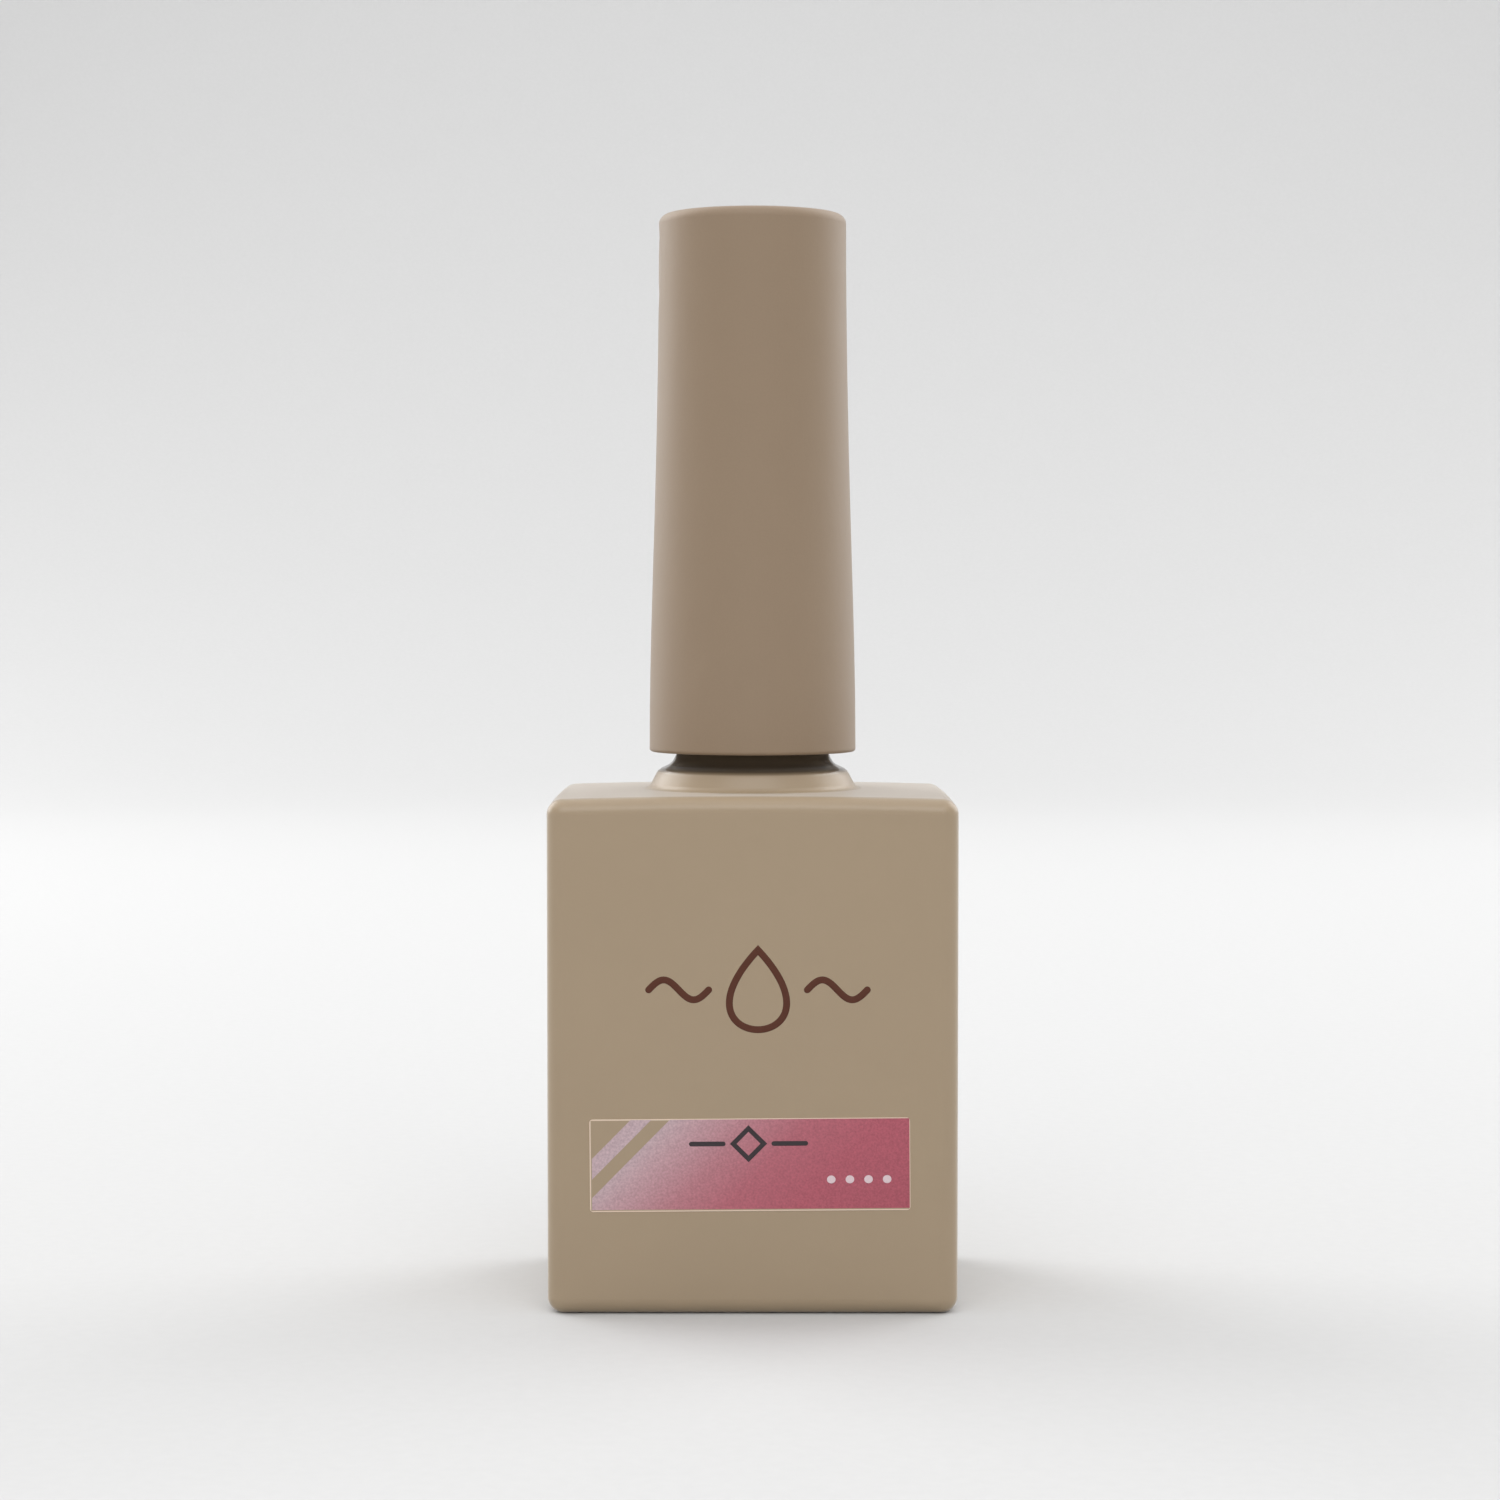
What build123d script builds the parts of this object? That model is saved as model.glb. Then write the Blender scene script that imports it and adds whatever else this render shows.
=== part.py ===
from build123d import *
import os

# Nail polish bottle: a rectangular lacquered glass bottle with its contents and label, closed by a
# tall tapered screw cap that carries the brush. The bottle stands on the XY plane with its neck on
# the Z axis, and its wide front faces -Y. All sizes are in millimetres.

# ---------------------------------------------------------------- glass bottle
body_width = 31.0
body_depth = 24.0
body_height = 39.2  # to the crown of the shoulder, on the neck's axis
shoulder_crown_radius = 500.0
upright_edge_radius = 1.3
shoulder_edge_radius = 1.2
base_edge_radius = 1.2
side_wall = 3.5
floor_wall = 4.0
shoulder_wall = 3.4
cavity_corner_radius = 2.6
cavity_edge_radius = 2.0
base_recess_margin = 2.6
base_recess_depth = 0.4

# ------------------------------------------------------------- neck and thread
neck_radius = 5.6
neck_wall = 1.6
neck_height = 11.47  # from the top of the collar to the lip
neck_swell = 0.7  # how much wider the neck is where it grows out of the collar
neck_swell_height = 1.5
neck_foot_radius = 0.95
neck_blend_radius = 2.0
lip_edge_radius = 0.4
collar_overhang = 2.6  # how far the round collar at the foot of the neck stands out beyond it
collar_lean = 0.85  # how much narrower the collar is at the top of its wall than at its foot
collar_wall_height = 1.4  # above the shoulder's crown
collar_slope_height = 0.48  # the flatter part, from there up to the neck
collar_root_depth = 0.2  # how far the collar's wall runs on down into the shoulder
collar_edge_radius = 1.0
collar_foot_radius = 0.7

thread_pitch = 25.4 / 12
thread_depth = 0.75
thread_root_width = 1.2
thread_crest_width = 0.6
thread_bite = 0.15  # how deep each ridge is rooted in the wall that carries it
thread_run_in = 1.9  # from the lip down to the upper end of the neck's thread
neck_thread_turns = 2.0
cap_thread_turns = 1.25
thread_crest_clearance = 0.2
thread_root_clearance = 0.35

# --------------------------------------------------------------------- contents
fill_headspace = 5.2
brush_channel_clearance = 0.7

# ------------------------------------------------------------------------ label
label_margin = 3.45  # from each side of the bottle to the label's end
label_height = 7.0
label_centre_height = 11.4
label_shift = -0.2  # off the bottle's centre line
label_tilt = 0.4  # degrees, as stuck on by hand
label_corner_radius = 0.25
label_thickness = 0.06

# ----------------------------------------------------------------------- gasket
gasket_thickness = 1.0
gasket_overhang = 0.35  # how far the gasket reaches in past the neck's bore

# -------------------------------------------------------------------- inner cap
running_gap = 0.05  # air between flat faces that turn on one another
inner_cap_wall = 0.5
inner_cap_roof = 1.2
inner_cap_rim_inset = 0.4  # how far its rim hides above the outer cap's rim
inner_cap_lead_in = 0.25
grip_rib_count = 24
grip_rib_width = 0.5
grip_rib_height = 0.15
grip_rib_end_gap = 0.8
grip_interference = 0.02
socket_collar_wall = 0.8
socket_collar_height = 3.0

# -------------------------------------------------------------------- outer cap
cap_gap = 0.92  # from the top of the bottle's collar up to the cap's rim
cap_height = 41.7
cap_wall = 0.87
cap_hollow_wall = 1.1
cap_top_wall = 1.4
cap_ledge_width = 0.75
cap_waist_inset = 0.42
cap_waist_height = 18.8  # above the rim
cap_top_inset = 0.78
cap_top_edge_radius = 0.75
cap_rim_edge_radius = 0.25

# ----------------------------------------------------------- brush stem and tuft
stem_tip_radius = 1.4
stem_top_radius = 1.7
stem_tip_edge_radius = 0.25
stem_flange_thickness = 0.5
stem_flange_clearance = 0.3
stem_shank_radius = 1.9
stem_shank_clearance = 0.08
stem_head_overhang = 0.4  # how far the snap head stands out beyond the shank
stem_head_height = 1.6
stem_head_taper = 0.8
tuft_hole_radius = 0.95
tuft_hole_depth = 3.2
tuft_length = 13.5
tuft_floor_gap = 2.2
tuft_belly_width = 3.2
tuft_belly_depth = 1.9
tuft_belly_height = 5.0  # above the tip
tuft_tip_width = 2.2
tuft_tip_depth = 1.0
anchor_thickness = 0.3
anchor_height = 1.4
anchor_bite = 0.1  # how far each end of the anchor cuts into the stem
anchor_depth = 1.3  # from the bottom of the tuft's hole to the anchor's middle

# ------------------------------------------------------- sizes that follow these
collar_radius = neck_radius + collar_overhang
collar_root = body_height - collar_root_depth
collar_wall_top = body_height + collar_wall_height
collar_top = collar_wall_top + collar_slope_height
lip_height = collar_top + neck_height
bore_radius = neck_radius - neck_wall
cavity_top = body_height - shoulder_wall
fill_height = cavity_top - fill_headspace

thread_crest_radius = neck_radius + thread_depth
neck_thread_start = lip_height - thread_run_in - neck_thread_turns * thread_pitch
cap_thread_start = neck_thread_start + thread_pitch / 2
nut_radius = thread_crest_radius + thread_crest_clearance

gasket_radius = bore_radius - gasket_overhang
gasket_top = lip_height + gasket_thickness

roof_height = gasket_top + running_gap
roof_top = roof_height + inner_cap_roof
inner_cap_radius = nut_radius + inner_cap_wall
socket_radius = inner_cap_radius + grip_rib_height - grip_interference

cap_rim_height = collar_top + cap_gap
cap_top_height = cap_rim_height + cap_height
cap_base_radius = socket_radius + cap_wall
cap_waist_radius = cap_base_radius - cap_waist_inset
cap_top_radius = cap_base_radius - cap_top_inset
inner_cap_rim_height = cap_rim_height + inner_cap_rim_inset

tuft_tip_height = floor_wall + tuft_floor_gap
stem_end_height = tuft_tip_height + tuft_length
tuft_hole_top = stem_end_height + tuft_hole_depth
stem_flange_radius = gasket_radius - stem_flange_clearance
stem_flange_bottom = gasket_top - stem_flange_thickness
stem_head_radius = stem_shank_radius + stem_head_overhang
stem_head_bottom = roof_top + running_gap
stem_head_top = stem_head_bottom + stem_head_height
stem_bore_radius = stem_shank_radius + stem_shank_clearance
socket_collar_radius = stem_head_radius + stem_flange_clearance
shoulder_ledge = body_depth / 2 - shoulder_edge_radius - collar_radius
brush_channel_radius = max(tuft_belly_width / 2, stem_top_radius) + brush_channel_clearance


def thread_ridge(root_radius, crest_radius, start_height, turns):
    """A helical ridge of trapezoid section, from root_radius out or in to crest_radius."""
    with BuildPart() as ridge:
        with BuildLine():
            path = Helix(thread_pitch, turns * thread_pitch, root_radius, (0, 0, start_height))
        with BuildSketch(Plane.XZ):
            with BuildLine():
                Polyline(
                    (root_radius, start_height - thread_root_width / 2),
                    (crest_radius, start_height - thread_crest_width / 2),
                    (crest_radius, start_height + thread_crest_width / 2),
                    (root_radius, start_height + thread_root_width / 2),
                    close=True,
                )
            make_face()
        sweep(path=path, is_frenet=True)
    return ridge.part


def ring_edge(part, radius, height):
    """The round edge of a part that has this radius and lies at this height."""
    return part.edges().filter_by(GeomType.CIRCLE).filter_by(
        lambda edge: abs(edge.radius - radius) < 0.01 and abs(edge.center().Z - height) < 0.01
    )


# The hollow under the neck: the bottle is cut by it, and the contents fill its lower part.
with BuildPart() as cavity:
    with BuildSketch(Plane.XY.offset(floor_wall)):
        RectangleRounded(body_width - 2 * side_wall, body_depth - 2 * side_wall, cavity_corner_radius)
    extrude(amount=cavity_top - floor_wall)
    fillet(cavity.faces().sort_by(Axis.Z)[0].edges(), cavity_edge_radius)
    fillet(cavity.faces().sort_by(Axis.Z)[-1].edges(), cavity_edge_radius)

# The bottle: a block under a low crowned shoulder, then a round collar and the threaded neck.
neck_thread = thread_ridge(
    neck_radius - thread_bite, thread_crest_radius, neck_thread_start, neck_thread_turns
)
with BuildPart() as glass_bottle:
    with BuildSketch():
        RectangleRounded(body_width, body_depth, upright_edge_radius)
    extrude(amount=body_height)
    with Locations((0, 0, body_height - shoulder_crown_radius)):
        Sphere(shoulder_crown_radius, mode=Mode.INTERSECT)
    fillet(glass_bottle.faces().sort_by(Axis.Z)[-1].edges(), shoulder_edge_radius)
    fillet(glass_bottle.faces().sort_by(Axis.Z)[0].edges(), base_edge_radius)
    with BuildSketch(Plane.XZ):
        with BuildLine():
            FilletPolyline(
                (collar_radius, collar_root),
                (collar_radius - collar_lean, collar_wall_top),
                (neck_radius + neck_swell, collar_top),
                (neck_radius, collar_top + neck_swell_height),
                (neck_radius, lip_height),
                (0, lip_height),
                radius=[collar_edge_radius, neck_foot_radius, neck_blend_radius, lip_edge_radius],
            )
            Polyline(
                (0, lip_height), (0, cavity_top), (collar_radius, cavity_top), (collar_radius, collar_root)
            )
        make_face()
    revolve(axis=Axis.Z)
    collar_foot = glass_bottle.edges().filter_by(GeomType.CIRCLE).filter_by(
        lambda edge: abs(edge.radius - collar_radius) < collar_root_depth
    )
    fillet(collar_foot.sort_by(Axis.Z)[0], min(collar_foot_radius, 0.8 * shoulder_ledge))
    add(neck_thread)
    add(cavity.part, mode=Mode.SUBTRACT)
    with Locations((0, 0, lip_height)):
        Hole(bore_radius, depth=lip_height - cavity_top + cavity_edge_radius)
    fillet(ring_edge(glass_bottle, bore_radius, lip_height), lip_edge_radius)
    with BuildSketch():
        RectangleRounded(
            body_width - 2 * base_recess_margin,
            body_depth - 2 * base_recess_margin,
            cavity_corner_radius,
        )
    extrude(amount=base_recess_depth, mode=Mode.SUBTRACT)
glass_bottle.part.label = "glass_bottle"

# The contents: gel colour up to the fill height, with a channel where the brush stands in it.
with BuildPart() as gel_polish:
    add(cavity.part)
    split(bisect_by=Plane.XY.offset(fill_height), keep=Keep.BOTTOM)
    with Locations((0, 0, fill_height)):
        Hole(brush_channel_radius, depth=fill_height - tuft_tip_height + brush_channel_clearance)
gel_polish.part.label = "gel_polish"

# The label: a clear printed film on the lower half of the front.
with BuildPart() as colour_label:
    with BuildSketch(Plane.XZ.offset(body_depth / 2)):
        with Locations(Location((label_shift, label_centre_height), label_tilt)):
            RectangleRounded(body_width - 2 * label_margin, label_height, label_corner_radius)
    extrude(amount=label_thickness)
colour_label.part.label = "colour_label"

# The gasket: a soft washer pressed between the lip and the roof of the inner cap.
with BuildPart() as gasket:
    with BuildSketch(Plane.XY.offset(lip_height)):
        Circle(neck_radius)
        Circle(gasket_radius, mode=Mode.SUBTRACT)
    extrude(amount=gasket_thickness)
gasket.part.label = "gasket"

# The inner cap: the threaded closure, with a bored roof and a collar round the stem's snap head.
cap_thread = thread_ridge(
    nut_radius + thread_bite, neck_radius + thread_root_clearance, cap_thread_start, cap_thread_turns
)
with BuildPart() as inner_cap:
    with BuildSketch(Plane.XZ):
        with BuildLine():
            Polyline(
                (nut_radius, inner_cap_rim_height),
                (inner_cap_radius, inner_cap_rim_height),
                (inner_cap_radius, roof_top),
                (socket_collar_radius + socket_collar_wall, roof_top),
                (socket_collar_radius + socket_collar_wall, roof_top + socket_collar_height),
                (socket_collar_radius, roof_top + socket_collar_height),
                (socket_collar_radius, roof_top),
                (stem_bore_radius, roof_top),
                (stem_bore_radius, roof_height),
                (nut_radius, roof_height),
                close=True,
            )
        make_face()
    revolve(axis=Axis.Z)
    chamfer(ring_edge(inner_cap, nut_radius, inner_cap_rim_height), inner_cap_lead_in)
    with BuildSketch(Plane.XY.offset(inner_cap_rim_height + grip_rib_end_gap)):
        with PolarLocations(inner_cap_radius, grip_rib_count):
            Rectangle(2 * grip_rib_height, grip_rib_width)
    extrude(amount=roof_top - inner_cap_rim_height - 2 * grip_rib_end_gap)
    add(cap_thread)
inner_cap.part.label = "inner_cap"

# The outer cap: a tall tapered shell with a socket and a ledge that seat the inner cap.
with BuildPart() as outer_cap:
    with BuildSketch(Plane.XZ):
        with BuildLine():
            side = Spline(
                (cap_base_radius, cap_rim_height),
                (cap_waist_radius, cap_rim_height + cap_waist_height),
                (cap_top_radius, cap_top_height),
                tangents=((0, 1), (0, 1)),
            )
            Polyline(side @ 1, (0, cap_top_height), (0, cap_rim_height), side @ 0)
        make_face()
    revolve(axis=Axis.Z)
    with BuildSketch(Plane.XZ):
        with BuildLine():
            Polyline(
                (0, cap_rim_height),
                (socket_radius, cap_rim_height),
                (socket_radius, roof_top),
                (socket_radius - cap_ledge_width, roof_top),
                (cap_top_radius - cap_hollow_wall, cap_top_height - cap_top_wall),
                (0, cap_top_height - cap_top_wall),
                close=True,
            )
        make_face()
    revolve(axis=Axis.Z, mode=Mode.SUBTRACT)
    fillet(ring_edge(outer_cap, cap_top_radius, cap_top_height), cap_top_edge_radius)
    fillet(ring_edge(outer_cap, cap_base_radius, cap_rim_height), cap_rim_edge_radius)
    fillet(ring_edge(outer_cap, socket_radius, cap_rim_height), cap_rim_edge_radius)
outer_cap.part.label = "outer_cap"

# The brush stem: a slim tapered rod, held in the inner cap's roof between its flange and snap head.
with BuildPart() as brush_stem:
    with BuildSketch(Plane.XZ):
        with BuildLine():
            Polyline(
                (0, stem_end_height),
                (stem_tip_radius, stem_end_height),
                (stem_top_radius, stem_flange_bottom),
                (stem_flange_radius, stem_flange_bottom),
                (stem_flange_radius, gasket_top),
                (stem_shank_radius, gasket_top),
                (stem_shank_radius, stem_head_bottom),
                (stem_head_radius, stem_head_bottom),
                (stem_head_radius - stem_head_taper, stem_head_top),
                (0, stem_head_top),
                close=True,
            )
        make_face()
    revolve(axis=Axis.Z)
    fillet(ring_edge(brush_stem, stem_tip_radius, stem_end_height), stem_tip_edge_radius)
    with BuildSketch(Plane.XY.offset(stem_end_height)):
        Circle(tuft_hole_radius)
    extrude(amount=tuft_hole_depth, mode=Mode.SUBTRACT)
brush_stem.part.label = "brush_stem"

# The anchor: a small flat staple driven across the tuft's hole, over which the bristles are folded.
with BuildPart() as tuft_anchor:
    with Locations((0, 0, tuft_hole_top - anchor_depth)):
        Box(2 * (tuft_hole_radius + anchor_bite), anchor_thickness, anchor_height)
tuft_anchor.part.label = "tuft_anchor"

# The bristles: one flat tuft that fills the stem's hole round the anchor and swells below it.
with BuildPart() as bristle_tuft:
    with BuildSketch(Plane.XY.offset(tuft_tip_height)):
        Ellipse(tuft_tip_width / 2, tuft_tip_depth / 2)
    with BuildSketch(Plane.XY.offset(tuft_tip_height + tuft_belly_height)):
        Ellipse(tuft_belly_width / 2, tuft_belly_depth / 2)
    with BuildSketch(Plane.XY.offset(stem_end_height)):
        Circle(tuft_hole_radius)
    loft()
    with BuildSketch(Plane.XY.offset(stem_end_height)):
        Circle(tuft_hole_radius)
    extrude(amount=tuft_hole_depth)
    add(tuft_anchor.part, mode=Mode.SUBTRACT)
bristle_tuft.part.label = "bristle_tuft"

os.makedirs("parts", exist_ok=True)
export_step(glass_bottle.part, "parts/glass_bottle.step")
export_step(gel_polish.part, "parts/gel_polish.step")
export_step(colour_label.part, "parts/colour_label.step")
export_step(gasket.part, "parts/gasket.step")
export_step(inner_cap.part, "parts/inner_cap.step")
export_step(outer_cap.part, "parts/outer_cap.step")
export_step(brush_stem.part, "parts/brush_stem.step")
export_step(tuft_anchor.part, "parts/tuft_anchor.step")
export_step(bristle_tuft.part, "parts/bristle_tuft.step")
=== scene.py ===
import math
import random

import bmesh
import bpy
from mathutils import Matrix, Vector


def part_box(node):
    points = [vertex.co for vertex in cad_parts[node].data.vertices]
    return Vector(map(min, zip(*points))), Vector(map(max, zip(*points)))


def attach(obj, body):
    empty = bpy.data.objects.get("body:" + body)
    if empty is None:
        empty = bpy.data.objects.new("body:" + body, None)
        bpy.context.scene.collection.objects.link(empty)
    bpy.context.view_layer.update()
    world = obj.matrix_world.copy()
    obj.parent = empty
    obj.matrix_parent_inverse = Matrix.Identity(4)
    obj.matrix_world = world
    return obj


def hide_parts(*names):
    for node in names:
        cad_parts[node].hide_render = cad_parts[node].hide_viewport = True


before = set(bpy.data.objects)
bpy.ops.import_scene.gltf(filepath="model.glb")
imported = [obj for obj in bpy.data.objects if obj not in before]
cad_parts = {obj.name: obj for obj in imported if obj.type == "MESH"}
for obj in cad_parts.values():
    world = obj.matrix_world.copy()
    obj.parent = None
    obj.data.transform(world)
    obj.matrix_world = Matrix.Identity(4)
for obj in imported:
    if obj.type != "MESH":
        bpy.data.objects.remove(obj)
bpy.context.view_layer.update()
scene = bpy.context.scene
MM = 0.001


# ---------------------------------------------------------------------------------- camera
# A view of the front through a fairly long lens, from a little above the bottle's shoulder and
# tipped slightly down, with the lens almost on the bottle's own centre line.
camera_distance = 271.9 * MM
camera_height = 54 * MM
camera_aside = -0.2 * MM
camera_tip_down = math.radians(2.51)

camera_data = bpy.data.cameras.new("camera")
camera_data.sensor_width = 36
camera_data.lens = 83.5
camera_data.clip_start = 0.01
camera = bpy.data.objects.new("camera", camera_data)
camera.location = (camera_aside, -camera_distance, camera_height)
camera.rotation_euler = (math.pi / 2 - camera_tip_down, 0, 0)
scene.collection.objects.link(camera)
scene.camera = camera
scene.view_settings.view_transform = "Standard"


# ---------------------------------------------------------------------------------- studio
# A floor of pale paper that sweeps up into a low wall all round the bottle, open to a plain white
# room over it, with a square softbox behind each side of the bottle, one overhead, one high in
# front, and a strip that lights the paper behind the bottle.
def link_mesh(name, vertices, faces, smooth=True):
    """Makes an object from plain lists of points and faces, with its faces all turned one way."""
    data = bpy.data.meshes.new(name)
    data.from_pydata(vertices, [], faces)
    shape = bmesh.new()
    shape.from_mesh(data)
    bmesh.ops.recalc_face_normals(shape, faces=shape.faces)
    for face in shape.faces:
        face.smooth = smooth
    shape.to_mesh(data)
    shape.free()
    made = bpy.data.objects.new(name, data)
    scene.collection.objects.link(made)
    return made


def turned_rings(profile, count):
    """Points of a profile of (radius, height) pairs turned about the Z axis, ring by ring."""
    points = []
    for radius, height in profile:
        for step in range(count):
            angle = 2 * math.pi * step / count
            points.append((radius * math.cos(angle), radius * math.sin(angle), height))
    return points


def ring_faces(rings, count):
    """The quads between rings of points that follow one another."""
    faces = []
    for ring in range(rings - 1):
        for step in range(count):
            after = (step + 1) % count
            faces.append((
                ring * count + step, ring * count + after,
                (ring + 1) * count + after, (ring + 1) * count + step,
            ))
    return faces


def node(tree, kind, settings=None, **sockets):
    """Adds a shader node. Sockets are named by keyword, and take a value or an output."""
    made = tree.nodes.new("ShaderNode" + kind)
    for key, value in (settings or {}).items():
        setattr(made, key, value)
    for key, value in sockets.items():
        socket = made.inputs[key.replace("_", " ")]
        if isinstance(value, bpy.types.NodeSocket):
            tree.links.new(value, socket)
        else:
            socket.default_value = value
    return made


def surface(name, **sockets):
    """A material with one Principled shader. Returns the material, its tree and that shader."""
    made = bpy.data.materials.new(name)
    made.use_nodes = True
    shader = made.node_tree.nodes["Principled BSDF"]
    for key, value in sockets.items():
        shader.inputs[key.replace("_", " ")].default_value = value
    return made, made.node_tree, shader


sweep_radius = 1.1
sweep_curve = 0.45
sweep_height = 0.75
curve_steps = 12
floor_rings = (0.02, 0.2, sweep_radius - sweep_curve)
sweep_profile = [(radius, 0.0) for radius in floor_rings]
for step in range(1, curve_steps + 1):
    angle = math.pi / 2 * step / curve_steps
    sweep_profile.append((
        sweep_radius - sweep_curve + sweep_curve * math.sin(angle),
        sweep_curve - sweep_curve * math.cos(angle),
    ))
sweep_profile.append((sweep_radius, sweep_height))
sweep_sides = 96
sweep_points = turned_rings(sweep_profile, sweep_sides) + [(0, 0, 0)]
sweep_faces = ring_faces(len(sweep_profile), sweep_sides)
sweep_centre = len(sweep_points) - 1
sweep_faces += [(sweep_centre, step, (step + 1) % sweep_sides) for step in range(sweep_sides)]
sweep = link_mesh("paper_sweep", sweep_points, sweep_faces)
paper, paper_tree, paper_shader = surface("paper", Roughness=0.9)
paper_fibre = node(paper_tree, "TexNoise", Vector=node(paper_tree, "TexCoord").outputs["Object"],
                   Scale=900.0, Detail=3.0)
paper_tone = node(paper_tree, "MapRange", Value=paper_fibre.outputs[0], To_Min=0.545, To_Max=0.575)
paper_tree.links.new(paper_tone.outputs[0], paper_shader.inputs["Base Color"])
sweep.data.materials.append(paper)


def softbox(name, place, aim, size, power):
    """A rectangular area light at a place, aimed at a point."""
    data = bpy.data.lights.new(name, "AREA")
    data.shape = "RECTANGLE"
    data.size, data.size_y = size
    data.energy = power
    lamp = bpy.data.objects.new(name, data)
    lamp.location = place
    direction = [a - b for a, b in zip(place, aim)]
    flat = math.hypot(direction[0], direction[1])
    lamp.rotation_euler = (
        math.atan2(flat, direction[2]), 0, math.atan2(direction[0], -direction[1])
    )
    scene.collection.objects.link(lamp)
    lamp.visible_camera = False


middle = (0, 0, 0.045)
softbox("overhead", (0, 0.05, 0.9), middle, (1.2, 0.9), 1.2)
softbox("front_top", (0, -0.7, 0.7), middle, (0.9, 0.5), 2.85)
softbox("left_side", (-0.6, 0.42, 0.42), middle, (0.6, 0.6), 3.7)
softbox("right_side", (0.6, 0.42, 0.42), middle, (0.6, 0.6), 2.8)
softbox("backdrop", (0, 0.45, 0.7), (0, 1.1, 0.3), (1.2, 0.2), 1.1)

world = bpy.data.worlds.new("room")
world.use_nodes = True
world.node_tree.nodes["Background"].inputs["Color"].default_value = (0.97, 0.97, 0.97, 1)
world.node_tree.nodes["Background"].inputs["Strength"].default_value = 1.0
scene.world = world


# ---------------------------------------------------------------------------- glass bottle
# A pressed glass bottle, sprayed on the outside with an opaque satin taupe lacquer that keeps
# light off the gel. The neck is masked while it is sprayed, so above the collar's rounded edge,
# in the bore and in the hollow the glass is bare. Its dark brown colour there is painted shade:
# clear glass in shadow under the cap and in the bore, drawn as opaque dark glass.
def chip(red, green, blue):
    """A colour chip in 0 to 255 display values, as the linear colour that shaders take."""
    shares = [value / 255 for value in (red, green, blue)]
    return (*[s / 12.92 if s <= 0.04045 else ((s + 0.055) / 1.055) ** 2.4 for s in shares], 1.0)


taupe = chip(160, 141, 116)
# The dark brown of the bare glass is painted shade, standing in for clear glass in shadow.
shaded_glass_colour = chip(84, 72, 58)
bare_smoothness = 0.85
bottle_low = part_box("glass_bottle")[0]
hollow_low, hollow_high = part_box("gel_polish")
hollow_top = bottle_low.z + 35.9 * MM
bore_radius = 4.45 * MM
bore_foot = hollow_top - 1.0 * MM
# The coat's edge on the neck also marks where the painted shade under the cap begins.
coat_and_shade_edge = bottle_low.z + 40.52 * MM
coat_and_shade_fade = 0.2 * MM
coat_grain = {
    "drift": 0.05, "speckle": 0.035, "peel_scale": 1500.0, "grain_scale": 5200.0, "peel_share": 0.8,
}


def maths(tree, operation, *values):
    """The output of a Math node on values or outputs."""
    made = tree.nodes.new("ShaderNodeMath")
    made.operation = operation
    for socket, value in zip(made.inputs, values):
        if isinstance(value, bpy.types.NodeSocket):
            tree.links.new(value, socket)
        else:
            socket.default_value = value
    return made.outputs[0]


def from_axis(tree, place):
    """The distance of a place from the Z axis. Place is a Separate XYZ node."""
    squares = [maths(tree, "POWER", socket, 2.0) for socket in place.outputs[:2]]
    return maths(tree, "SQRT", maths(tree, "ADD", *squares))


def new_group(name, inputs, outputs):
    """An empty shader node group. Inputs and outputs are (name, kind) pairs."""
    tree = bpy.data.node_groups.new(name, "ShaderNodeTree")
    kinds = {"colour": "NodeSocketColor", "number": "NodeSocketFloat"}
    for label, kind in inputs:
        tree.interface.new_socket(name=label, in_out="INPUT", socket_type=kinds[kind])
    for label, kind in outputs:
        tree.interface.new_socket(name=label, in_out="OUTPUT", socket_type=kinds[kind])
    return tree, tree.nodes.new("NodeGroupInput"), tree.nodes.new("NodeGroupOutput")


def mixed(tree, share, first, second):
    """The colour between two colours or outputs, at a share."""
    made = tree.nodes.new("ShaderNodeMix")
    made.data_type = "RGBA"
    for socket, value in ((made.inputs[0], share), (made.inputs[6], first), (made.inputs[7], second)):
        if isinstance(value, bpy.types.NodeSocket):
            tree.links.new(value, socket)
        else:
            socket.default_value = value
    return made.outputs[2]


# Every sprayed coat and moulded plastic shows a slow drift of tone, a fine speckle, and a
# relief of soft orange peel under finer grain. Scales are in waves for each metre.
grain_tree, grain_in, grain_out = new_group(
    "surface_grain",
    [("Colour", "colour"), ("Drift", "number"), ("Speckle", "number"),
     ("Peel Scale", "number"), ("Grain Scale", "number"), ("Peel Share", "number")],
    [("Colour", "colour"), ("Height", "number"), ("Patch", "number")],
)
grain_place = node(grain_tree, "TexCoord").outputs["Object"]
drift_noise = node(grain_tree, "TexNoise", Vector=grain_place, Scale=150.0, Detail=3.0, Roughness=0.6)
speckle_noise = node(grain_tree, "TexNoise", Vector=grain_place, Scale=6500.0, Detail=2.0)
peel_noise = node(grain_tree, "TexNoise", Vector=grain_place, Scale=grain_in.outputs["Peel Scale"],
                  Detail=1.0)
fine_noise = node(grain_tree, "TexNoise", Vector=grain_place, Scale=grain_in.outputs["Grain Scale"],
                  Detail=2.0)
drift = maths(grain_tree, "MULTIPLY", maths(grain_tree, "SUBTRACT", drift_noise.outputs[0], 0.5),
              grain_in.outputs["Drift"])
speckle = maths(grain_tree, "MULTIPLY", maths(grain_tree, "SUBTRACT", speckle_noise.outputs[0], 0.5),
                grain_in.outputs["Speckle"])
tone = maths(grain_tree, "ADD", 1.0, maths(grain_tree, "ADD", drift, speckle))
toned = node(grain_tree, "HueSaturation", Value=tone, Color=grain_in.outputs["Colour"])
peel = maths(grain_tree, "MULTIPLY", peel_noise.outputs[0], grain_in.outputs["Peel Share"])
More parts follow.
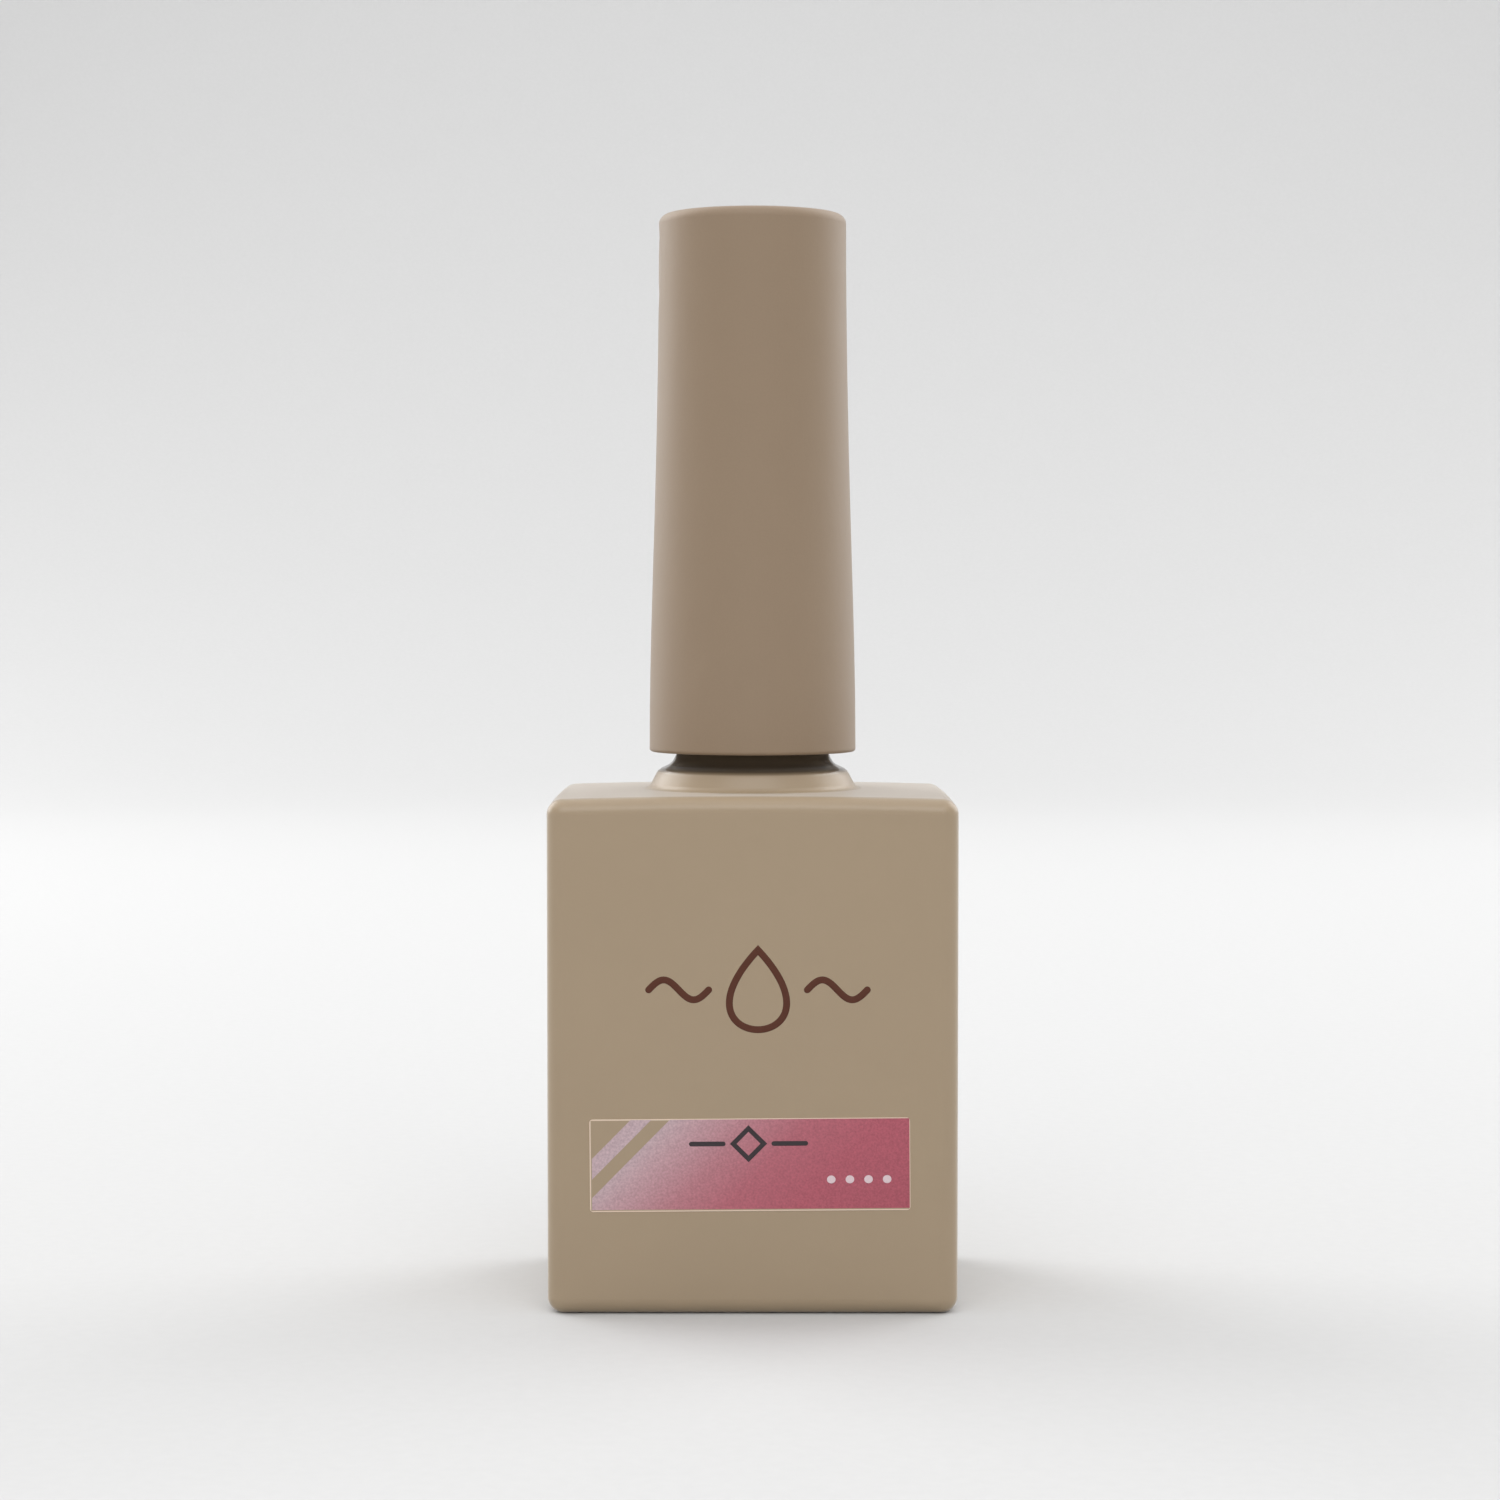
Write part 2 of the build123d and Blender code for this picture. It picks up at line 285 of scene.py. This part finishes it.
fine = maths(grain_tree, "MULTIPLY", fine_noise.outputs[0],
             maths(grain_tree, "SUBTRACT", 1.0, grain_in.outputs["Peel Share"]))
grain_tree.links.new(toned.outputs[0], grain_out.inputs["Colour"])
grain_tree.links.new(maths(grain_tree, "ADD", peel, fine), grain_out.inputs["Height"])
grain_tree.links.new(drift_noise.outputs[0], grain_out.inputs["Patch"])


def grain(tree, colour, drift, speckle, peel_scale, grain_scale, peel_share):
    """Places the surface grain group in a material with that material's own values."""
    made = tree.nodes.new("ShaderNodeGroup")
    made.node_tree = grain_tree
    values = (colour, drift, speckle, peel_scale, grain_scale, peel_share)
    for socket, value in zip(made.inputs, values):
        if isinstance(value, bpy.types.NodeSocket):
            tree.links.new(value, socket)
        else:
            socket.default_value = value
    return made.outputs


def relief(tree, shader, height, depth):
    """Feeds a height into a shader's normal through a Bump node, at a depth in metres."""
    bump = node(tree, "Bump", Strength=1.0, Distance=depth, Height=height)
    tree.links.new(bump.outputs[0], shader.inputs["Normal"])


def paint_node(name, material):
    """Gives every material slot of a CAD node this material."""
    for material_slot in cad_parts[name].material_slots:
        material_slot.material = material


lacquer, lacquer_tree, lacquer_shader = surface(
    "taupe_lacquer", IOR=1.5, Sheen_Weight=0.6, Sheen_Roughness=0.3
)
place = node(lacquer_tree, "SeparateXYZ", Vector=node(lacquer_tree, "TexCoord").outputs["Object"])
across, along, height = place.outputs
skin = 0.05 * MM
in_bore = maths(lacquer_tree, "MULTIPLY",
                maths(lacquer_tree, "LESS_THAN", from_axis(lacquer_tree, place), bore_radius),
                maths(lacquer_tree, "GREATER_THAN", height, bore_foot))
in_hollow = maths(lacquer_tree, "MULTIPLY",
                  maths(lacquer_tree, "MULTIPLY",
                        maths(lacquer_tree, "LESS_THAN", maths(lacquer_tree, "ABSOLUTE", across),
                              hollow_high.x + skin),
                        maths(lacquer_tree, "LESS_THAN", maths(lacquer_tree, "ABSOLUTE", along),
                              hollow_high.y + skin)),
                  maths(lacquer_tree, "MULTIPLY",
                        maths(lacquer_tree, "LESS_THAN", height, hollow_top),
                        maths(lacquer_tree, "GREATER_THAN", height, hollow_low.z - skin)))
on_neck = node(lacquer_tree, "MapRange", {"interpolation_type": "SMOOTHSTEP"}, Value=height,
               From_Min=coat_and_shade_edge - coat_and_shade_fade, From_Max=coat_and_shade_edge + coat_and_shade_fade).outputs[0]
bare_and_shaded = maths(lacquer_tree, "MAXIMUM", maths(lacquer_tree, "MAXIMUM", in_bore, in_hollow), on_neck)
coat = grain(lacquer_tree, taupe, **coat_grain)
# Bare glass takes the dark brown painted shade; the coat keeps its own taupe.
lacquer_tree.links.new(mixed(lacquer_tree, bare_and_shaded, coat["Colour"], shaded_glass_colour),
                       lacquer_shader.inputs["Base Color"])
coat_roughness = node(lacquer_tree, "MapRange", Value=coat["Patch"], To_Min=0.3, To_Max=0.38)
lacquer_tree.links.new(
    maths(lacquer_tree, "MULTIPLY", coat_roughness.outputs[0],
          maths(lacquer_tree, "SUBTRACT", 1.0,
                maths(lacquer_tree, "MULTIPLY", bare_and_shaded, bare_smoothness))),
    lacquer_shader.inputs["Roughness"],
)
relief(lacquer_tree, lacquer_shader, coat["Height"], 0.004 * MM)
paint_node("glass_bottle", lacquer)


# ------------------------------------------------------------------------- printed ornament
# Brown screen ink on the front, fired onto the lacquer: a plain drop between two ripples. The
# ink stands a few hundredths of a millimetre proud, with soft round edges.
ink_width = 0.52 * MM
ink_rise = 0.03 * MM
ornament_height = 24.6 * MM
ornament_aside = 0.4 * MM
drop_half_width = 2.15 * MM
drop_half_height = 3.0 * MM
drop_fullness = 1.3
drop_points = 72
ripple_near = 3.7 * MM
ripple_far = 8.2 * MM
ripple_swing = 0.75 * MM
front = bottle_low.y


def ink_line(points, width, rise, closed=False):
    """Points and faces of a domed line of ink along (across, up) points. It rises towards -Y."""
    dome_steps = 6
    least_mitre_cosine = 0.4
    dome = [math.pi * k / dome_steps for k in range(dome_steps + 1)]
    section = [(math.cos(angle), math.sin(angle)) for angle in dome]
    count = len(points)
    rings = []
    for index, (across, up) in enumerate(points):
        before = points[index - 1] if closed or index else points[0]
        after = points[(index + 1) % count] if closed or index < count - 1 else points[-1]
        turn_in = math.atan2(up - before[1], across - before[0])
        turn_out = math.atan2(after[1] - up, after[0] - across)
        if before == (across, up):
            turn_in = turn_out
        if after == (across, up):
            turn_out = turn_in
        half_turn = math.remainder(turn_out - turn_in, 2 * math.pi) / 2
        mitre = 1 / max(math.cos(half_turn), least_mitre_cosine)
        rings.append((across, up, turn_in + half_turn, mitre, 1.0))
    if not closed:
        rings = end_rings(rings[0], -1, width) + rings + end_rings(rings[-1], 1, width)
    vertices, faces = [], []
    for across, up, heading, mitre, share in rings:
        for aside, proud in section:
            offset = aside * mitre * share * width / 2
            vertices.append((
                across - math.sin(heading) * offset, -proud * share * rise, up + math.cos(heading) * offset
            ))
    size = len(section)
    spans = len(rings) if closed else len(rings) - 1
    for ring in range(spans):
        first, second = ring * size, (ring + 1) % len(rings) * size
        for k in range(size):
            k_next = (k + 1) % size
            faces.append((first + k, second + k, second + k_next, first + k_next))
    if not closed:
        faces.append(tuple(range(size)))
        faces.append(tuple(reversed(range(len(vertices) - size, len(vertices)))))
    return vertices, faces


def end_rings(ring, way, width):
    """Rings that close an ink line with a round end. Way is -1 at its start and 1 at its end."""
    across, up, heading = ring[:3]
    made = []
    for angle in [math.radians(degrees) for degrees in (25, 50, 70, 84)]:
        ahead = way * math.sin(angle) * width / 2
        made.append((
            across + math.cos(heading) * ahead, up + math.sin(heading) * ahead,
            heading, 1.0, math.cos(angle),
        ))
    return made if way > 0 else made[::-1]


def printed(name, lines, width, rise, place, material, body, turn=0.0):
    """Makes one object of several (points, closed) ink lines, about a place on the front."""
    vertices, faces = [], []
    for points, closed in lines:
        more, quads = ink_line(points, width, rise, closed)
        faces += [tuple(index + len(vertices) for index in quad) for quad in quads]
        vertices += more
    made = link_mesh(name, vertices, faces)
    made.location = place
    made.rotation_euler = (0, turn, 0)
    made.data.materials.append(material)
    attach(made, body)


def ripple(start, end):
    """A level line of one wave from start to end across."""
    steps = 40
    return [
        (start + (end - start) * k / steps, ripple_swing * math.sin(2 * math.pi * k / steps))
        for k in range(steps + 1)
    ]


drop = [
    (drop_half_width * drop_fullness * math.sin(t) * math.sin(t / 2), drop_half_height * math.cos(t))
    for t in (2 * math.pi * k / drop_points for k in range(drop_points))
]
ink, ink_tree, ink_shader = surface("brown_ink", Roughness=0.5, Specular_IOR_Level=0.25)
ink_grain = grain(ink_tree, chip(84, 45, 31), drift=0.06, speckle=0.12,
                  peel_scale=2500.0, grain_scale=9000.0, peel_share=0.5)
ink_tree.links.new(ink_grain["Colour"], ink_shader.inputs["Base Color"])
relief(ink_tree, ink_shader, ink_grain["Height"], 0.004 * MM)
printed(
    "printed_ornament",
    [(drop, True),
     (ripple(ripple_near, ripple_far), False),
     (ripple(-ripple_far, -ripple_near), False)],
    ink_width, ink_rise, (ornament_aside, front, ornament_height), ink, "bottle",
)


# ----------------------------------------------------------------------------- colour label
# A die-cut clear film, printed from a pale lilac to the gel's own pink, with clear stripes cut
# across one corner. The print sits a little high and to the right on the film, so a thin line of
# clear film shows along its left and lower edges. It is stuck on by hand, a touch off level. A
# thin pale line painted round the film's cut edge is a painted highlight, where the edge catches light.
label_low, label_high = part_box("colour_label")
label_tilt = math.radians(-0.4)
label_size = (24.1 * MM, 7.0 * MM)
label_corner = 0.25 * MM
film_thickness = 0.045 * MM
film_bevel = 0.02 * MM
print_margin = 0.16 * MM
print_bleed = 0.05 * MM
print_soft = 0.02 * MM
# A painted highlight: a pale line this wide round the film's cut edge, where the edge catches light.
edge_glint_width = 0.09 * MM
edge_glint_colour = chip(222, 200, 180)
fade_start = 6.0 * MM
fade_end = 30.0 * MM
stripe_start = 3.15 * MM
stripe_end = 4.7 * MM
field_start = 6.1 * MM
past_label = 60 * MM
label_centre = ((label_low.x + label_high.x) / 2, front, (label_low.z + label_high.z) / 2)


def rounded_outline(width, height, radius):
    """Points of a rectangle with round corners, about the origin, anticlockwise."""
    steps = 6
    points = []
    for number, (side, top) in enumerate(((1, 1), (-1, 1), (-1, -1), (1, -1))):
        for step in range(steps + 1):
            angle = math.pi / 2 * (number + step / steps)
            points.append((
                side * (width / 2 - radius) + radius * math.cos(angle),
                top * (height / 2 - radius) + radius * math.sin(angle),
            ))
    return points


bevel_middle = film_bevel * 0.3
film_levels = (
    (0.0, 0.0), (0.0, film_thickness - film_bevel),
    (bevel_middle, film_thickness - bevel_middle), (film_bevel, film_thickness),
)
film_points = []
for inset, rise in film_levels:
    outline = rounded_outline(label_size[0] - 2 * inset, label_size[1] - 2 * inset, label_corner - inset)
    film_points += [(across, -rise, up) for across, up in outline]
film_sides = len(film_points) // len(film_levels)
film_faces = ring_faces(len(film_levels), film_sides)
film_faces.append(tuple(reversed(range(film_sides))))
film_faces.append(tuple(range(len(film_points) - film_sides, len(film_points))))
film = link_mesh("label_film", film_points, film_faces, smooth=False)
film.location = label_centre
film.rotation_euler = (0, label_tilt, 0)

film_material, film_tree, film_shader = surface("printed_film", Roughness=0.28, IOR=1.49)
film_place = node(film_tree, "SeparateXYZ", Vector=node(film_tree, "TexCoord").outputs["Object"])
from_left = maths(film_tree, "ADD", film_place.outputs[0], label_size[0] / 2)
from_top = maths(film_tree, "SUBTRACT", label_size[1] / 2, film_place.outputs[2])
diagonal = maths(film_tree, "ADD", from_left, from_top)
fade = film_tree.nodes.new("ShaderNodeValToRGB")
fade_share = node(film_tree, "MapRange", Value=diagonal, From_Min=fade_start, From_Max=fade_end)
film_tree.links.new(fade_share.outputs[0], fade.inputs[0])
fade_stops = ((0.0, chip(186, 162, 168)), (0.1, chip(184, 147, 154)), (0.28, chip(176, 116, 126)),
              (0.45, chip(171, 94, 107)), (0.68, chip(168, 82, 97)), (1.0, chip(163, 76, 91)))
while len(fade.color_ramp.elements) < len(fade_stops):
    fade.color_ramp.elements.new(0.5)
for stop, (share, colour) in zip(fade.color_ramp.elements, fade_stops):
    stop.position = share
    stop.color = colour


def band(tree, value, low, high, soft):
    """1 where a value lies between low and high, with soft ends."""
    rising = node(tree, "MapRange", Value=value, From_Min=low - soft, From_Max=low + soft)
    falling = node(tree, "MapRange", Value=value, From_Min=high - soft, From_Max=high + soft,
                   To_Min=1.0, To_Max=0.0)
    return maths(tree, "MULTIPLY", rising.outputs[0], falling.outputs[0])


inside_print = maths(film_tree, "MULTIPLY",
                     band(film_tree, from_left, print_margin, label_size[0] - print_bleed, print_soft),
                     band(film_tree, from_top, print_bleed, label_size[1] - print_margin, print_soft))
lilac_stripe = band(film_tree, diagonal, stripe_start, stripe_end, print_soft)
printed_field = band(film_tree, diagonal, field_start, past_label, print_soft)
printed_share = maths(film_tree, "MULTIPLY", inside_print,
                      maths(film_tree, "MAXIMUM", lilac_stripe, printed_field))
film_grain = grain(film_tree, fade.outputs[0], drift=0.06, speckle=0.7,
                   peel_scale=900.0, grain_scale=7000.0, peel_share=0.8)
clear_grain = grain(film_tree, taupe, **coat_grain)
# The pale line round the cut edge is a painted highlight of the film's edge catching light.
inside_edge_glint = maths(film_tree, "MULTIPLY",
                   band(film_tree, from_left, edge_glint_width, label_size[0] - edge_glint_width, print_soft),
                   band(film_tree, from_top, edge_glint_width, label_size[1] - edge_glint_width, print_soft))
clear_film_and_edge_glint = mixed(film_tree, inside_edge_glint, edge_glint_colour, clear_grain["Colour"])
film_tree.links.new(mixed(film_tree, printed_share, clear_film_and_edge_glint, film_grain["Colour"]),
                    film_shader.inputs["Base Color"])
relief(film_tree, film_shader, film_grain["Height"], 0.002 * MM)
film.data.materials.append(film_material)
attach(film, "bottle")
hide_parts("colour_label")

# The label's two printed marks: a dark divider with a diamond in it, and a row of pale dots.
mark_rise = 0.006 * MM
film_face = front - film_thickness
divider_width = 0.36 * MM
divider_place = (-0.1 * MM, 1.6 * MM)
diamond_reach = 1.15 * MM
rule_reaches = (1.9 * MM, 3.0 * MM, 4.3 * MM)
dot_count = 4
dot_width = 0.62 * MM
dot_pitch = 1.4 * MM
dot_length = 0.03 * MM
dots_place = (8.2 * MM, -1.15 * MM)


def on_label(across, up):
    """A place on the tilted film's face, from its centre."""
    turn = -label_tilt
    return (
        label_centre[0] + across * math.cos(turn) - up * math.sin(turn), film_face,
        label_centre[2] + across * math.sin(turn) + up * math.cos(turn),
    )


dark_ink, dark_tree, dark_shader = surface("dark_label_ink", Roughness=0.35)
dark_grain = grain(dark_tree, chip(42, 31, 36), drift=0.05, speckle=0.3,
                   peel_scale=2500.0, grain_scale=9000.0, peel_share=0.5)
dark_tree.links.new(dark_grain["Colour"], dark_shader.inputs["Base Color"])
diamond = [(diamond_reach, 0), (0, diamond_reach), (-diamond_reach, 0), (0, -diamond_reach)]
divider_lines = [(diamond, True)]
for side in (-1, 1):
    divider_lines.append(([(side * reach, 0) for reach in rule_reaches], False))
printed("label_divider", divider_lines, divider_width, mark_rise, on_label(*divider_place),
        dark_ink, "bottle", label_tilt)

pale_ink, pale_tree, pale_shader = surface("pale_label_ink", Roughness=0.35)
pale_grain = grain(pale_tree, chip(216, 194, 199), drift=0.05, speckle=0.2,
                   peel_scale=2500.0, grain_scale=9000.0, peel_share=0.5)
pale_tree.links.new(pale_grain["Colour"], pale_shader.inputs["Base Color"])
dots = []
for number in range(dot_count):
    dot_left = (number - (dot_count - 1) / 2) * dot_pitch - dot_length / 2
    dots.append(([(dot_left, 0), (dot_left + dot_length, 0)], False))
printed("label_dots", dots, dot_width, mark_rise, on_label(*dots_place), pale_ink,
        "bottle", label_tilt)


# ------------------------------------------------------------------------------------- gel
# The contents: a thick, glossy pink gel. It shows down the neck when the cap is off.
gel, gel_tree, gel_shader = surface("pink_gel", Roughness=0.08, Coat_Weight=0.6, Coat_Roughness=0.03)
gel_grain = grain(gel_tree, chip(176, 84, 100), drift=0.1, speckle=0.0,
                  peel_scale=300.0, grain_scale=1200.0, peel_share=0.9)
gel_tree.links.new(gel_grain["Colour"], gel_shader.inputs["Base Color"])
relief(gel_tree, gel_shader, gel_grain["Height"], 0.02 * MM)
paint_node("gel_polish", gel)


# --------------------------------------------------------------------------------- outer cap
# The tall tapered handle: moulded plastic under a soft-touch rubber coat in the bottle's taupe.
# The coat is matter than the lacquer, with a fine even grain, and stops at the socket inside.
cap_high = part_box("outer_cap")[1]
socket_radius = 7.2 * MM
socket_top = cap_high.z - 1.0 * MM
soft_taupe = chip(142, 122, 100)
bare_plastic = chip(150, 136, 120)


def roughness_between(tree, shader, share, low, high):
    """Roughness that runs from low to high as a share runs from 0 to 1."""
    spread = node(tree, "MapRange", Value=share, To_Min=low, To_Max=high)
    tree.links.new(spread.outputs[0], shader.inputs["Roughness"])


soft_touch, soft_tree, soft_shader = surface(
    "soft_touch_coat", IOR=1.45, Sheen_Weight=0.15, Sheen_Roughness=0.5
)
soft_place = node(soft_tree, "SeparateXYZ", Vector=node(soft_tree, "TexCoord").outputs["Object"])
inside_cap = maths(soft_tree, "MULTIPLY",
                   maths(soft_tree, "LESS_THAN", from_axis(soft_tree, soft_place), socket_radius),
                   maths(soft_tree, "LESS_THAN", soft_place.outputs[2], socket_top))
soft_grain = grain(soft_tree, soft_taupe, drift=0.05, speckle=0.06,
                   peel_scale=2400.0, grain_scale=8500.0, peel_share=0.45)
soft_tree.links.new(mixed(soft_tree, inside_cap, soft_grain["Colour"], bare_plastic),
                    soft_shader.inputs["Base Color"])
roughness_between(soft_tree, soft_shader, soft_grain["Patch"], 0.48, 0.58)
relief(soft_tree, soft_shader, soft_grain["Height"], 0.006 * MM)
paint_node("outer_cap", soft_touch)


# --------------------------------------------------------------------------------- inner cap
# The threaded liner: natural polypropylene, milky and slightly waxy, pressed into the outer cap
# by the ribs round it.
liner, liner_tree, liner_shader = surface("natural_polypropylene", Roughness=0.34, IOR=1.49)
liner_shader.inputs["Subsurface Weight"].default_value = 0.15
liner_shader.inputs["Subsurface Radius"].default_value = (0.002, 0.002, 0.002)
liner_grain = grain(liner_tree, chip(226, 223, 214), drift=0.05, speckle=0.03,
                    peel_scale=700.0, grain_scale=5000.0, peel_share=0.7)
liner_tree.links.new(liner_grain["Colour"], liner_shader.inputs["Base Color"])
relief(liner_tree, liner_shader, liner_grain["Height"], 0.005 * MM)
paint_node("inner_cap", liner)


# ------------------------------------------------------------------------------------ gasket
# A washer punched from white foamed polyethylene. Its closed cells show as fine dimples.
foam, foam_tree, foam_shader = surface("foamed_polyethylene", Roughness=0.62)
foam_place = node(foam_tree, "TexCoord").outputs["Object"]
foam_cells = node(foam_tree, "TexVoronoi", Vector=foam_place, Scale=4500.0)
foam_grain = grain(foam_tree, chip(232, 230, 224), drift=0.04, speckle=0.05,
                   peel_scale=1500.0, grain_scale=6000.0, peel_share=0.6)
foam_tree.links.new(foam_grain["Colour"], foam_shader.inputs["Base Color"])
relief(foam_tree, foam_shader, foam_cells.outputs["Distance"], 0.02 * MM)
paint_node("gasket", foam)


# -------------------------------------------------------------------------------- brush stem
# A slim black rod moulded in one with its flange and snap head, with a faint lengthwise polish.
rod, rod_tree, rod_shader = surface("black_polypropylene", Roughness=0.22, IOR=1.49)
rod_place = node(rod_tree, "TexCoord").outputs["Object"]
rod_stretch = node(rod_tree, "Mapping", Vector=rod_place, Scale=(1.0, 1.0, 0.06))
rod_streaks = node(rod_tree, "TexNoise", Vector=rod_stretch.outputs[0], Scale=4000.0, Detail=2.0)
rod_grain = grain(rod_tree, chip(30, 28, 28), drift=0.2, speckle=0.1,
                  peel_scale=900.0, grain_scale=5000.0, peel_share=0.6)
rod_tree.links.new(rod_grain["Colour"], rod_shader.inputs["Base Color"])
roughness_between(rod_tree, rod_shader, rod_streaks.outputs[0], 0.16, 0.34)
relief(rod_tree, rod_shader, rod_streaks.outputs[0], 0.003 * MM)
paint_node("brush_stem", rod)


# ------------------------------------------------------------------------------- tuft anchor
# A flat clip of stainless wire, driven across the stem's hole over the folded bristles.
wire, wire_tree, wire_shader = surface("stainless_wire", Metallic=1.0, Roughness=0.3)
wire_stretch = node(wire_tree, "Mapping", Vector=node(wire_tree, "TexCoord").outputs["Object"],
                    Scale=(0.05, 1.0, 1.0))
wire_streaks = node(wire_tree, "TexNoise", Vector=wire_stretch.outputs[0], Scale=9000.0, Detail=2.0)
wire_grain = grain(wire_tree, chip(190, 190, 188), drift=0.05, speckle=0.05,
                   peel_scale=1500.0, grain_scale=8000.0, peel_share=0.5)
wire_tree.links.new(wire_grain["Colour"], wire_shader.inputs["Base Color"])
roughness_between(wire_tree, wire_shader, wire_streaks.outputs[0], 0.22, 0.42)
paint_node("tuft_anchor", wire)


# -------------------------------------------------------------------------------- bristles
# A flat tuft of tapered nylon filaments. They leave the stem's round hole, swell to an oval
# belly, and close again to a trimmed round tip.
tuft_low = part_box("bristle_tuft")[0]
stem_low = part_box("brush_stem")[0]
hole_radius = 0.9 * MM
filament_count = 230
filament_steps = 12
filament_sides = 6
filament_radius = 0.052 * MM
filament_tip_radius = 0.03 * MM
filament_stray = 0.05
belly_share = 0.62
belly_reach = (1.5 * MM, 0.86 * MM)
tip_reach = (1.05 * MM, 0.42 * MM)
tip_rounding = 0.16
trim_scatter = 0.025
tuft_fill = 0.94
wet_scatter = 3.0 * MM
tuft_length = stem_low.z - tuft_low.z
root_depth = 2.4 * MM
random.seed(7)


def tuft_reach(share):
    """Half the tuft's width and depth, at a share of its length from the stem down to its tip."""
    swell = math.sin(math.pi * min(share / belly_share, 1.0) / 2) ** 2
    close = max(0.0, (share - belly_share) / (1 - belly_share)) ** 1.6
    return [
        hole_radius * (1 - swell) + (belly * (1 - close) + tip * close) * swell
        for belly, tip in zip(belly_reach, tip_reach)
    ]


def filament(place, turn, trim):
    """Rings of one filament. Place is its seat in the tuft's section, from -1 to 1 each way."""
    rings = []
    bend = random.uniform(-filament_stray, filament_stray)
    sag = random.uniform(-filament_stray, filament_stray)
    for step in range(filament_steps + 1):
        share = step / filament_steps * trim
        wide, deep = tuft_reach(share)
        stray = share * share
        centre = (
            (place[0] + bend * stray) * wide, (place[1] + sag * stray) * deep,
            stem_low.z - share * tuft_length,
        )
        thick = filament_radius + (filament_tip_radius - filament_radius) * share ** 2
        rings.append((centre, thick))
    root = rings[0][0]
    rings.insert(0, ((root[0], root[1], root[2] + root_depth), filament_radius))
    tip, thick = rings[-1]
    end_length, end_radius = 0.7 * thick, 0.45 * thick
    rings.append(((tip[0], tip[1], tip[2] - end_length), end_radius))
    points = []
    for centre, thick in rings:
        for k in range(filament_sides):
            angle = turn + 2 * math.pi / filament_sides * k
            points.append((
                centre[0] + thick * math.cos(angle), centre[1] + thick * math.sin(angle), centre[2]
            ))
    return points, len(rings)


tuft_points, tuft_faces = [], []
golden_angle = math.pi * (3 - math.sqrt(5))
for number in range(filament_count):
    reach = math.sqrt((number + 0.5) / filament_count) * tuft_fill
    angle = number * golden_angle
    seat = (reach * math.cos(angle), reach * math.sin(angle))
    trim = 1.0 - tip_rounding * reach ** 2 - random.uniform(0.0, trim_scatter)
    points, rings = filament(seat, random.uniform(0, 1), trim)
    first = len(tuft_points)
    tuft_points += points
    tuft_faces += [tuple(first + index for index in quad) for quad in ring_faces(rings, filament_sides)]
    tuft_faces.append(tuple(first + k for k in range(filament_sides)))
    tuft_faces.append(tuple(first + len(points) - 1 - k for k in range(filament_sides)))
tuft = link_mesh("bristles", tuft_points, tuft_faces)

nylon, nylon_tree, nylon_shader = surface("wetted_nylon", IOR=1.53, Coat_Roughness=0.05)
nylon_place = node(nylon_tree, "SeparateXYZ", Vector=node(nylon_tree, "TexCoord").outputs["Object"])
wetness_noise = node(nylon_tree, "TexNoise", Vector=node(nylon_tree, "TexCoord").outputs["Object"],
                     Scale=900.0, Detail=2.0)
wet_line = maths(nylon_tree, "ADD", nylon_place.outputs[2],
                 maths(nylon_tree, "MULTIPLY", wetness_noise.outputs[0], wet_scatter))
wet = node(nylon_tree, "MapRange", Value=wet_line, From_Min=stem_low.z - 1.0 * MM,
           From_Max=stem_low.z + 1.5 * MM, To_Min=1.0, To_Max=0.0)
nylon_grain = grain(nylon_tree, chip(52, 42, 38), drift=0.2, speckle=0.2,
                    peel_scale=900.0, grain_scale=6000.0, peel_share=0.6)
wet_grain = grain(nylon_tree, chip(172, 80, 96), drift=0.12, speckle=0.1,
                  peel_scale=900.0, grain_scale=6000.0, peel_share=0.6)
nylon_tree.links.new(mixed(nylon_tree, wet.outputs[0], nylon_grain["Colour"], wet_grain["Colour"]),
                     nylon_shader.inputs["Base Color"])
roughness_between(nylon_tree, nylon_shader, wet.outputs[0], 0.4, 0.12)
nylon_tree.links.new(wet.outputs[0], nylon_shader.inputs["Coat Weight"])
tuft.data.materials.append(nylon)
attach(tuft, "applicator")
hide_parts("bristle_tuft")
